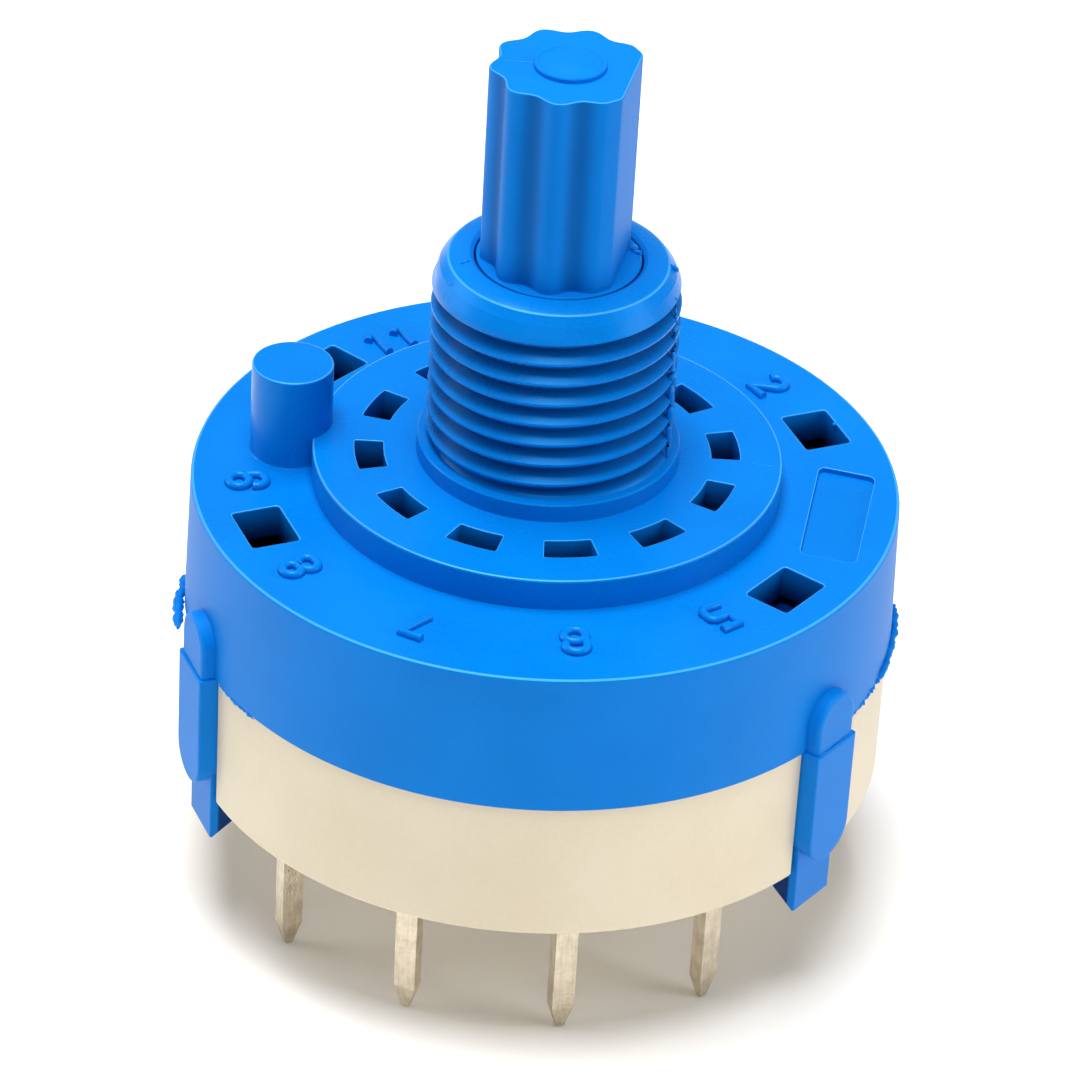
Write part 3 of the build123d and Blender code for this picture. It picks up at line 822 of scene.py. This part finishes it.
# %% One clip
PAD_WIDTH = 2.15
PAD_TOP = -4.55
PAD_FACE = 13.6
ARM_WIDTH = 2.35
ARM_FOOT = -11.7
ARM_FACE = 13.7
TONGUE_FACE = 13.17
TONGUE_BACK = 12.55
TONGUE_FOOT = -13.9
HOOK_TOP = -12.3
HOOK_FOOT = -13.2
HOOK_REACH = 12.15
PAD_EDGE = 0.14
ARM_EDGE = 0.08
TONGUE_EDGE = 0.05
FACE_FRAME = Matrix(((0, 0, 1, 0), (1, 0, 0, 0), (0, 1, 0, 0), (0, 0, 0, 1)))
SIDE_FRAME = Matrix(((1, 0, 0, 0), (0, 0, 1, 0), (0, 1, 0, 0), (0, 0, 0, 1)))


def tab(width, straight_end, round_end, steps=20):
    """Outline of a tab: square at one end and round at the other, counter-clockwise."""
    half = width / 2
    up = 1 if round_end > straight_end else -1
    centre = round_end - up * half
    turns = [pi * k / steps for k in range(steps + 1)]
    end = [(half * cos(a), centre + up * half * sin(a)) for a in turns]
    outline = [(-half, straight_end), (half, straight_end), *end]
    return outline if up > 0 else outline[::-1]


clip = bmesh.new()
blocks = []
pad = Skin()
pad.slab(tab(PAD_WIDTH, RIM_FOOT_Z - 0.1, PAD_TOP), TONGUE_BACK, PAD_FACE, PAD_EDGE)
blocks.append(pad.mesh("pad", FACE_FRAME))
arm = Skin()
arm.slab(tab(ARM_WIDTH, RIM_FOOT_Z, ARM_FOOT), TONGUE_BACK, ARM_FACE, ARM_EDGE)
blocks.append(arm.mesh("arm", FACE_FRAME))
tongue = Skin()
tongue_side = [(TONGUE_BACK, RIM_FOOT_Z), (TONGUE_BACK, HOOK_TOP), (HOOK_REACH, HOOK_TOP)]
tongue_side += [(HOOK_REACH, HOOK_FOOT), (TONGUE_FACE - 0.08, TONGUE_FOOT)]
tongue_side += [(TONGUE_FACE, TONGUE_FOOT + 0.06), (TONGUE_FACE, RIM_FOOT_Z)]
tongue.slab(tongue_side, -PAD_WIDTH / 2, PAD_WIDTH / 2, TONGUE_EDGE, TONGUE_EDGE)
blocks.append(tongue.mesh("tongue", SIDE_FRAME))
for block in blocks:
    clip.from_mesh(block)
clip_mesh = bpy.data.meshes.new("clip")
clip.to_mesh(clip_mesh)
clip.free()
print("one clip:", len(clip_mesh.polygons), "faces")

# %% Four clips
CLIP_ANGLE = 30
CLIPS = 4

group, tree, entry = geometry_tree("clips", {"Angle": "NodeSocketFloat"})
places = tree.node("GeometryNodeMeshLine", {"mode": "OFFSET"}, {"Count": CLIPS, "Offset": (0, 0, 0)})
index = tree.value("GeometryNodeInputIndex")
pair = (index / 2).math("FLOOR")
turn = pair * pi + ((index - pair * 2) * 2 - 1) * Value(tree, entry.outputs["Angle"])
rotation = tree.node("ShaderNodeCombineXYZ", None, {"Z": turn})
spun = tree.node("GeometryNodeInstanceOnPoints", None, {
    "Points": places.outputs[0],
    "Instance": entry.outputs[0],
    "Rotation": rotation.outputs[0],
})
close_tree(tree, entry, spun.outputs[0])
clips_mesh = grown("cover_clips", group, {"Angle": radians(CLIP_ANGLE)}, cover_blue, clip_mesh)
print("open edges:", outwards(clips_mesh))
cover_piece("cover_clips", clips_mesh, edges=False)

# %% [markdown]
# The dial's numbers are raised beads on the roof, tops outwards, one for each way that this
# switch has, with two more at the ends. Each is a few strokes, and a curve with a round bevel
# turns strokes into beads that are half sunk in the roof.


# %% Strokes of the numbers
def arc(x, y, across, up, start, end, steps=14):
    """Points of a part of an ellipse."""
    turns = [radians(start + (end - start) * k / steps) for k in range(steps + 1)]
    return [(x + across * cos(a), y + up * sin(a)) for a in turns]


BOWL = arc(0.30, 0.27, 0.27, 0.27, 0, 360, 24)
FIVE = [(0.58, 1.0), (0.06, 1.0), (0.06, 0.56), (0.46, 0.56)]
FIVE += [(0.57, 0.48), (0.58, 0.12), (0.48, 0.0), (0.0, 0.0)]
HOOK = [(0.05, 0.40), (0.03, 0.70), *arc(0.30, 0.73, 0.27, 0.27, 170, -20)]
STROKES = {
    "0": [arc(0.30, 0.50, 0.28, 0.50, 0, 360, 28)],
    "1": [[(0.12, 0.76), (0.34, 1.0), (0.34, 0.0)]],
    "2": [[*arc(0.30, 0.71, 0.27, 0.29, 165, -40), (0.03, 0.0), (0.60, 0.0)]],
    "5": [FIVE],
    "6": [BOWL, HOOK],
    "7": [[(0.02, 1.0), (0.58, 1.0), (0.24, 0.0)]],
    "8": [arc(0.30, 0.77, 0.24, 0.24, 0, 360, 24), arc(0.30, 0.25, 0.28, 0.25, 0, 360, 24)],
}
STROKES["9"] = [[(0.60 - x, 1.0 - y) for x, y in stroke] for stroke in STROKES["6"]]
NUMBER_HEIGHT = 1.35
NUMBER_WIDTH = 1.45
NUMBER_STEP = 1.12
BEAD = 0.17
BEAD_Z = ANNULUS_Z + 0.08
NUMBERS = {
    "5": (-46.7, 10.7), "6": (-76.3, 10.65), "7": (-105.7, 11.0), "8": (-134.7, 11.0),
    "9": (-165.7, 10.95), "10": (165.5, 10.9), "11": (131.3, 10.75), "12": (104, 10.8),
    "1": (75, 10.8), "2": (47.3, 10.9),
}

numbers = bpy.data.curves.new("numbers", "CURVE")
numbers.dimensions = "3D"
numbers.bevel_depth = BEAD * MM
numbers.bevel_resolution = 3
numbers.use_fill_caps = True
for number, (angle, radius) in NUMBERS.items():
    for position, digit in enumerate(number):
        shift = (position - (len(number) - 1) / 2) * NUMBER_STEP
        for stroke in STROKES[digit]:
            spline = numbers.splines.new("POLY")
            if Vector(stroke[0]).to_tuple(3) == Vector(stroke[-1]).to_tuple(3):
                spline.use_cyclic_u = True
                stroke = stroke[:-1]
            spline.points.add(len(stroke) - 1)
            for point, (x, y) in zip(spline.points, stroke):
                across = (x - 0.3) * NUMBER_WIDTH + shift
                out = radius + (y - 0.5) * NUMBER_HEIGHT
                turned = Matrix.Rotation(radians(angle), 2) @ Vector((out, -across))
                point.co = (turned.x * MM, turned.y * MM, BEAD_Z * MM, 1)
number_object = bpy.data.objects.new("numbers", numbers)
bpy.context.scene.collection.objects.link(number_object)
bpy.context.view_layer.update()
evaluated = number_object.evaluated_get(bpy.context.evaluated_depsgraph_get())
number_mesh = bpy.data.meshes.new_from_object(evaluated)
number_mesh.name = "cover_numbers"
bpy.data.objects.remove(number_object)
cover_piece("cover_numbers", number_mesh, smooth=60)

# %% [markdown]
# This switch came from a worn mould, and that shows. Where the mould's halves met, a thin bead of
# plastic stands on the bush and lips of it on the rim's lower edge, with crumbs at the cut gate.
# They are short ragged rods here, from a fixed seed, each a chain of points with its thickness.

# %% Ragged rods
RAGGED_SEED = 7
rough = random.Random(RAGGED_SEED)


def rod(skin, path, radii, sides=8):
    """Closed thin rod through points, with a radius at each."""
    rings = []
    for i, point in enumerate(path):
        before = Vector(path[max(i - 1, 0)])
        after = Vector(path[min(i + 1, len(path) - 1)])
        turn = (after - before).to_track_quat("Z", "Y").to_matrix()
        ring = [Vector(point) + turn @ Vector((*at(radii[i], 360 * k / sides), 0)) for k in range(sides)]
        rings.append([skin.bm.verts.new(place) for place in ring])
    skin.tube(rings)
    skin.bm.faces.new(rings[0])
    skin.bm.faces.new(rings[-1])


def ragged(skin, start, end, steps, thickness, stray):
    """Rod from one radius, angle and height to another, uneven in its path and its thickness."""
    path = []
    radii = []
    for k in range(steps + 1):
        share = k / steps
        radius, angle, z = [a + (b - a) * share for a, b in zip(start, end)]
        radius += rough.uniform(-stray, stray)
        path.append((*at(radius, angle), z + rough.uniform(-stray, stray)))
        fade = min(1, 5 * share + 0.3, 5 * (1 - share) + 0.3)
        radii.append(thickness * fade * rough.uniform(0.55, 1.25))
    rod(skin, path, radii)


# %% Flash of the cover
FLASH = (
    ((4.43, -9.5, 7.5), (4.50, -9.5, 0.65), 34, 0.11, 0.018),
    ((4.30, 5.9, 7.9), (4.0, 6.6, 8.12), 4, 0.08, 0.01),
    ((3.25, 9.2, 8.29), (3.95, 6.8, 8.13), 10, 0.02, 0.006),
    ((3.6, -157.7, 8.28), (3.25, -158.5, 8.3), 3, 0.06, 0.02),
    ((4.2, -150, 7.86), (4.05, -139, 7.9), 8, 0.045, 0.02),
    ((13.22, 9, -6.3), (13.18, -12, -6.65), 36, 0.16, 0.05),
    ((13.14, -11, -6.62), (13.12, -25.5, -6.72), 34, 0.075, 0.04),
    ((13.18, -175, -6.66), (13.5, -161, -6.8), 26, 0.19, 0.05),
    ((13.12, -143.5, -6.72), (13.12, -133, -6.72), 24, 0.07, 0.03),
    ((8.60, 4.8, -0.03), (7.3, 5.5, 0.0), 12, 0.03, 0.008),
    ((8.24, -148, 0.0), (8.22, -141, 0.0), 10, 0.03, 0.01),
    ((11.84, 31.4, -1.25), (11.70, 30.6, -1.25), 4, 0.08, 0.02),
)
flash = Skin()
for line in FLASH:
    ragged(flash, *line)
for side in (-1, 1):
    path = []
    for k in range(5):
        angle = -CLIP_ANGLE + side * k * 1.1 - side * 0.2
        path.append((*at(PAD_FACE + 0.02, angle), RIM_FOOT_Z + rough.uniform(-0.05, 0.05)))
    rod(flash, path, [rough.uniform(0.03, 0.075) for point in path])
cover_piece("cover_flash", flash.mesh("cover_flash"), smooth=80, edges=False)

# %% [markdown]
# The base is a cream cup that closes the cover from below. The clips' tongues lie in four
# grooves down its side and hold it square under the rim, and ten slits let the blades through.

# %% Base outline and slits
BASE_RADIUS = 13.05
BASE_FOOT = -12.25
FLOOR_Z = -9.8
CAVITY_RADIUS = 11.5
GROOVE_HALF = 1.225
GROOVE_FLOOR = 12.5
GROOVE_SPAN = 5.386
PIVOT_BORE = 1.56
PIVOT_FOOT = -11.45
SLIT = (0.62, 0.90)
TWIST = {5: 8, 6: 14, 8: 82}
PIN_CIRCLE = 11.0
COMMON_PINS = 4.4


def notched():
    """Round outline with a groove at each clip, counter-clockwise."""
    mouth = sqrt(BASE_RADIUS ** 2 - GROOVE_HALF ** 2)
    lower = [(mouth, -GROOVE_HALF), (GROOVE_FLOOR, -GROOVE_HALF)]
    corners = lower + [(GROOVE_FLOOR, GROOVE_HALF), (mouth, GROOVE_HALF)]
    outline = []
    stops = [-150, -30, 30, 150, 210]
    for angle, following in zip(stops, stops[1:]):
        turn = Matrix.Rotation(radians(angle), 2)
        outline += [tuple(turn @ Vector(corner)) for corner in corners]
        start = angle + GROOVE_SPAN
        end = following - GROOVE_SPAN
        steps = round((end - start) / 2)
        outline += [at(BASE_RADIUS, start + (end - start) * k / steps) for k in range(1, steps)]
    return outline


def station_angle(station):
    """Direction of a station of the dial."""
    return 105 - 30 * (station % STATIONS)


slits = [turned_box(COMMON_PINS, angle, *SLIT) for angle in (-90, 90)]
for station in (11, 12, 1, 2, 5, 6, 7, 8):
    centre = at(PIN_CIRCLE, station_angle(station))
    turned = turned_box(0, station_angle(station) + TWIST.get(station, 0), *SLIT)
    slits.append([(x + centre[0], y + centre[1]) for x, y in turned])
print("base outline:", len(notched()), "points")

# %% Base
BASE_EDGE = 0.12
BASE_LIP_EDGE = 0.03

base = Skin()
side = []
for inward, depth in reversed(rounding(BASE_EDGE)):
    side.append(base.ring(inset(notched(), inward), BASE_FOOT + depth))
for inward, depth in rounding(BASE_LIP_EDGE):
    side.append(base.ring(inset(notched(), inward), RIM_FOOT_Z - depth))
base.tube(side)
cavity = base.tube([base.ring(circle(CAVITY_RADIUS), z) for z in (RIM_FOOT_Z, FLOOR_Z)])
pivot = base.tube([base.ring(circle(PIVOT_BORE, steps=48), z) for z in (FLOOR_Z, PIVOT_FOOT)])
slit_walls = [base.hole(slit, FLOOR_Z, BASE_FOOT, 0.01) for slit in slits]
base.cap(side[-1], cavity[0])
base.cap(cavity[1], pivot[0], *[top for top, foot in slit_walls])
base.cap(pivot[1])
base.cap(side[0], *[foot for top, foot in slit_walls])
show("base_cup", base.mesh("base_cup"), cream, "housing", "base_plastic", "base")

# %% [markdown]
# Two posts stand on the base's floor and stop the rotor at its first and its last way. They are
# short sectors of a ring, set a hair into the floor that carries them.

# %% Stop posts of the base
POST_RADII = (9.7, 11.7)
POST_TOP = -8.2

posts = Skin()
for start, end in ((18, 30), (150, 162)):
    posts.slab(sector(*POST_RADII, start, end), FLOOR_Z - 0.05, POST_TOP, 0.03)
show("base_posts", posts.mesh("base_posts"), cream, "housing", "base_plastic", "base")

# %% [markdown]
# The shaft is fluted, so that a push-on knob grips it, and cut with a flat on one side. Its
# outline is a wave round a circle, cut off by the flat. The rotor below the bush is hidden, so a
# merged copy of its solid serves there, and the fine shaft stands on it.

# %% Shaft and boss
FLUTE_DEPTH = 0.3
FLUTE_PITCH = 37.4
FLUTE_CRESTS = 8
OUTLINE_STEPS = 196
FLAT_CORNER = [(2.27, 1.58), (2.235, 1.72), (2.14, 1.86)]
FLAT_ANGLE = -5
SHAFT_TOP = 15.9
SHAFT_FOOT = 8.1
SHAFT_EDGE = 0.06
JOURNAL_RADIUS = 2.97
JOURNAL_TOP = 8.25
JOURNAL_FOOT = 4.6
BOSS_FOOT = 15.8
BOSS_RADIUS = 1.29


def fluted():
    """Outline of the shaft, counter-clockwise, with its flat facing +X before it is turned."""
    span = FLUTE_PITCH * (FLUTE_CRESTS - 1)
    first = 180 - span / 2
    points = []
    for k in range(OUTLINE_STEPS + 1):
        angle = first + span * k / OUTLINE_STEPS
        wave = (1 - cos(2 * pi * (angle - first) / FLUTE_PITCH)) / 2
        points.append(at(SHAFT_RADIUS - FLUTE_DEPTH * wave, angle))
    points += [(x, -y) for x, y in reversed(FLAT_CORNER)] + FLAT_CORNER
    turn = Matrix.Rotation(radians(FLAT_ANGLE), 2)
    return [tuple(turn @ Vector(point)) for point in points]


shaft = Skin()
shaft.slab(fluted(), SHAFT_FOOT, SHAFT_TOP, SHAFT_EDGE)
journal = [(0, JOURNAL_FOOT), (JOURNAL_RADIUS, JOURNAL_FOOT), (JOURNAL_RADIUS, JOURNAL_TOP - 0.05)]
journal += [(JOURNAL_RADIUS - 0.05, JOURNAL_TOP), (0, JOURNAL_TOP)]
shaft.turned(journal)
boss = [(0, BOSS_FOOT), (BOSS_RADIUS, BOSS_FOOT), (BOSS_RADIUS, 16.04), (1.25, 16.09)]
boss += [(1.16, 16.09), (1.11, 16.05)]
boss += [(1.0, 16.05), (0.72, 16.13), (0.45, 16.18), (0.2, 16.2), (0, 16.2)]
shaft.turned(boss, steps=72)
SHAFT_FLASH = (
    ((2.3, -176.7, SHAFT_TOP), (1.2, -178.3, SHAFT_TOP), 8, 0.018, 0.004),
    ((2.72, 17, JOURNAL_TOP), (2.84, 24, JOURNAL_TOP + 0.05), 4, 0.15, 0.04),
    ((2.62, 24, JOURNAL_TOP + 0.04), (2.93, 13, JOURNAL_TOP + 0.02), 7, 0.08, 0.05),
    ((2.90, 6, JOURNAL_TOP), (2.92, 12, JOURNAL_TOP), 5, 0.05, 0.02),
)
for line in SHAFT_FLASH:
    ragged(shaft, *line)
show("shaft", shaft.mesh("shaft"), shaft_blue, "rotor", "rotor_plastic", "rotor")

# %% Rotor below the bush
CUT_Z = 5.0

rotor = bmesh.new()
rotor.from_mesh(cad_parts["rotor"].data)
bmesh.ops.scale(rotor, vec=(1 / MM, 1 / MM, 1 / MM), verts=rotor.verts)
bmesh.ops.remove_doubles(rotor, verts=rotor.verts, dist=0.001)
whole = [*rotor.verts, *rotor.edges, *rotor.faces]
cut = bmesh.ops.bisect_plane(
    rotor, geom=whole, plane_co=(0, 0, CUT_Z), plane_no=(0, 0, 1), clear_outer=True)
rim_edges = [part for part in cut["geom_cut"] if isinstance(part, bmesh.types.BMEdge)]
bmesh.ops.triangle_fill(rotor, use_beauty=True, edges=rim_edges)
rotor_mesh = bpy.data.meshes.new("rotor_core")
bmesh.ops.scale(rotor, vec=(MM, MM, MM), verts=rotor.verts)
rotor.to_mesh(rotor_mesh)
rotor.free()
print("open edges:", outwards(rotor_mesh))
# Its near-black finish is painted shade for the inside seen through the windows.
show("rotor_core", rotor_mesh, shaded_core_blue, "rotor", "rotor_plastic", "rotor")

# %% [markdown]
# The blades, wipers, springs and balls are right as solids. They keep their own meshes and get
# a finish, and the blades get the small rounding that stamping and plating leave.

# %% Finishes of the solids
BLADE_EDGE = 0.05


def carried(node, finish, edge=0.0):
    """A solid that is shown as it is, with its finish and, if need be, a turned edge."""
    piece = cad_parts[node]
    piece.data.materials.clear()
    piece.data.materials.append(finish)
    weld = piece.modifiers.new("merge", "WELD")
    weld.merge_threshold = 0.001 * MM
    if edge:
        bevel = piece.modifiers.new("edges", "BEVEL")
        bevel.width = edge * MM
        bevel.segments = 2
        bevel.limit_method = "ANGLE"
        bevel.angle_limit = radians(25)
        bevel.harden_normals = False


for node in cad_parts:
    if node.startswith(("terminal_", "common_")):
        carried(node, nickel, BLADE_EDGE)
    elif node.startswith("wiper_") and "spring" not in node:
        carried(node, silver)
    elif "spring" in node or "ball" in node:
        carried(node, steel)
print("solids shown as they are:", sum(1 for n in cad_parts.values() if not n.hide_render))

# %% [markdown]
# Two leaf springs sit in pockets of the rotor and press the wipers down. A leaf is bent from thin spring
# strip, and it flattens towards its pocket's roof when its wiper lifts. The solid of a leaf is rigid, so a
# copy of it stands for it here.

for side in ("a", "b"):
    node = f"wiper_spring_{side}"
    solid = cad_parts[node].evaluated_get(bpy.context.evaluated_depsgraph_get())
    leaf_mesh = bpy.data.meshes.new_from_object(solid)
    leaf = show(f"leaf_{side}", leaf_mesh, steel, "rotor", "spring_steel", node, edges=False)
    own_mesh(leaf)

# %% [markdown]
# The stage is a plain pale floor under the pins' points, with a wide soft light overhead, weaker
# ones from the left, the right and the front, and an even pale surrounding, as in a product
# photograph.

# %% Floor
FLOOR_TOP = -18.03
FLOOR_REACH = 3000
FLOOR_GREY = 0.93

floor_mesh = bpy.data.meshes.new("floor")
corners = [(-1, -1), (1, -1), (1, 1), (-1, 1)]
places = [(x * FLOOR_REACH * MM, y * FLOOR_REACH * MM, FLOOR_TOP * MM) for x, y in corners]
floor_mesh.from_pydata(places, [], [(0, 1, 2, 3)])
floor = bpy.data.objects.new("floor", floor_mesh)
bpy.context.scene.collection.objects.link(floor)
material, tree, shader, place = finish_tree("pale_floor")
shader.inputs["Base Color"].default_value = (FLOOR_GREY, FLOOR_GREY, FLOOR_GREY, 1)
shader.inputs["Roughness"].default_value = 0.9
floor_mesh.materials.append(material)

# %% [markdown]
# The lights are wide panels, given by place, size and power in metres and watts. The overhead one
# stands almost upright over the switch and draws the bright tops, and the side panels keep the
# walls and pins from going dull. A light from behind would lay a pale veil on the cover's top.

# %% Lights
SURROUNDING = 0.16
LIGHTS = {
    "overhead": ((-0.03, -0.01, 0.42), (0.34, 0.20), 2.70),
    "from_left": ((-0.44, 0.02, 0.14), (0.26, 0.26), 0.55),
    "from_right": ((0.44, -0.04, 0.16), (0.26, 0.26), 0.80),
    "from_front": ((0.02, -0.44, 0.13), (0.50, 0.16), 0.20),
}
for name, (place, (width, depth), power) in LIGHTS.items():
    light = bpy.data.lights.new(name, "AREA")
    light.shape = "RECTANGLE"
    light.size = width
    light.size_y = depth
    light.energy = power
    lamp = bpy.data.objects.new(name, light)
    lamp.location = place
    lamp.rotation_euler = Vector(place).to_track_quat("Z", "Y").to_euler()
    bpy.context.scene.collection.objects.link(lamp)
world = bpy.data.worlds.new("surrounding")
bpy.context.scene.world = world
world.use_nodes = True
background = world.node_tree.nodes["Background"]
background.inputs["Color"].default_value = (1, 1, 1, 1)
background.inputs["Strength"].default_value = SURROUNDING
bpy.context.scene.view_settings.view_transform = "Standard"
print("lights:", list(LIGHTS))

# %% [markdown]
# The camera stands where the photographer's stood: a long lens, 33.5 degrees above the level,
# a little to the right of the front, and tilted so that the shaft leans to the right.

# %% Camera
AZIMUTH = radians(6.3)
ELEVATION = radians(33.52)
ROLL = radians(-3.39)
DISTANCE = 196.2
LENS = 178.4
SENSOR = 36
SIDESTEP = (-0.08, -2.30)
AIM = Vector((0, 0, -1.21))

forward = Vector((-sin(AZIMUTH) * cos(ELEVATION), cos(AZIMUTH) * cos(ELEVATION), -sin(ELEVATION)))
right = Vector((cos(AZIMUTH), sin(AZIMUTH), 0))
up = right.cross(forward)
stand = AIM - forward * DISTANCE + right * SIDESTEP[0] + up * SIDESTEP[1]
level = right * cos(ROLL) - up * sin(ROLL)
upright = right * sin(ROLL) + up * cos(ROLL)
lens = bpy.data.cameras.new("camera")
lens.sensor_width = SENSOR
lens.lens = LENS
lens.clip_start = 0.001
camera = bpy.data.objects.new("camera", lens)
axes = Matrix((level, upright, -forward)).transposed().to_4x4()
camera.matrix_world = Matrix.Translation(stand * MM) @ axes
bpy.context.scene.collection.objects.link(camera)
bpy.context.scene.camera = camera
print("camera stands at", [round(v, 1) for v in stand], "mm")
